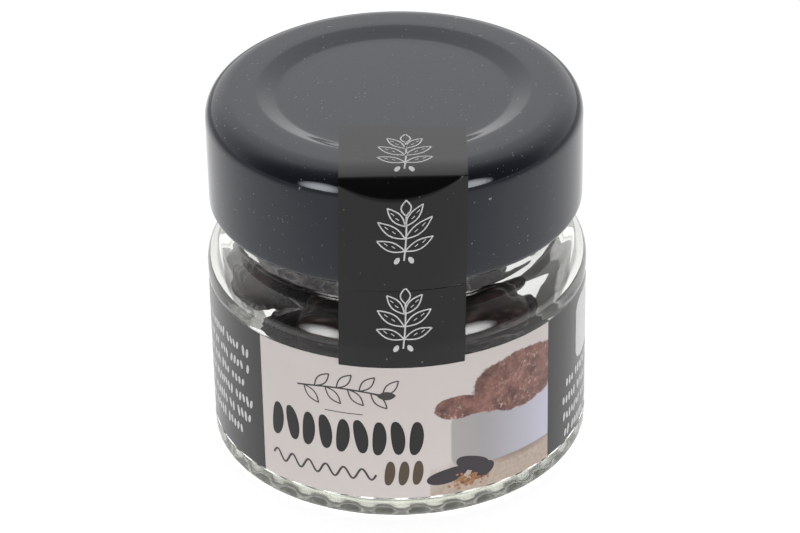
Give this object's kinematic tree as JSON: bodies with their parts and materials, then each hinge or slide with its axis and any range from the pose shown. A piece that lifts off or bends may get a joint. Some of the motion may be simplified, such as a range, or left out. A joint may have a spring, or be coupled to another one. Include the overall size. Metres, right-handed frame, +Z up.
{
  "type": "jar of tonka beans",
  "caption": "Small round clear glass spice jar of wrinkled dark tonka beans, with a deep twist-off lid, a wrap label and a paper seal strip over the lid.",
  "frame": {"origin": "centre of the jar's base, on the surface that it stands on", "axes": "+Z up along the jar's axis, -Y towards the label's front panel and the seal strip, +X to the viewer's right"},
  "size_m": [0.0482, 0.0486, 0.0488],
  "materials": {
    "glass": "clear, smooth, faint green tint",
    "lid_lacquer": "gloss black lacquer on tinplate",
    "gasket": "matte cast sealing compound",
    "label_paper": "satin printed film",
    "seal_paper": "matte charcoal coated paper",
    "bean_skin": "wrinkled, slightly oily seed skin"
  },
  "bodies": {
    "base": {"jar": "glass", "label": "label_paper", "seal_lower": "seal_paper", "bean_01": "bean_skin", "bean_02": "bean_skin", "bean_03": "bean_skin", "bean_04": "bean_skin", "bean_05": "bean_skin", "bean_06": "bean_skin", "bean_07": "bean_skin", "bean_08": "bean_skin", "bean_09": "bean_skin", "bean_10": "bean_skin"},
    "carriage": {"lid_gasket": "gasket"},
    "cap": {"lid": "lid_lacquer", "seal_upper": "seal_paper"}
  },
  "joints": [
    {"name": "lid_rise", "type": "slide", "parent": "base", "child": "carriage", "axis": [0, 0, 1], "range_m": [0, 0.0011]},
    {"name": "lid_turn", "type": "hinge", "parent": "carriage", "child": "cap", "pos_m": [0, 0, 0.0409], "axis": [0, 0, 1], "range_deg": [0, 68]}
  ],
  "couplings": [
    {"joint": "lid_rise", "follows": "lid_turn", "m_per_rad": 0.0009231}
  ]
}
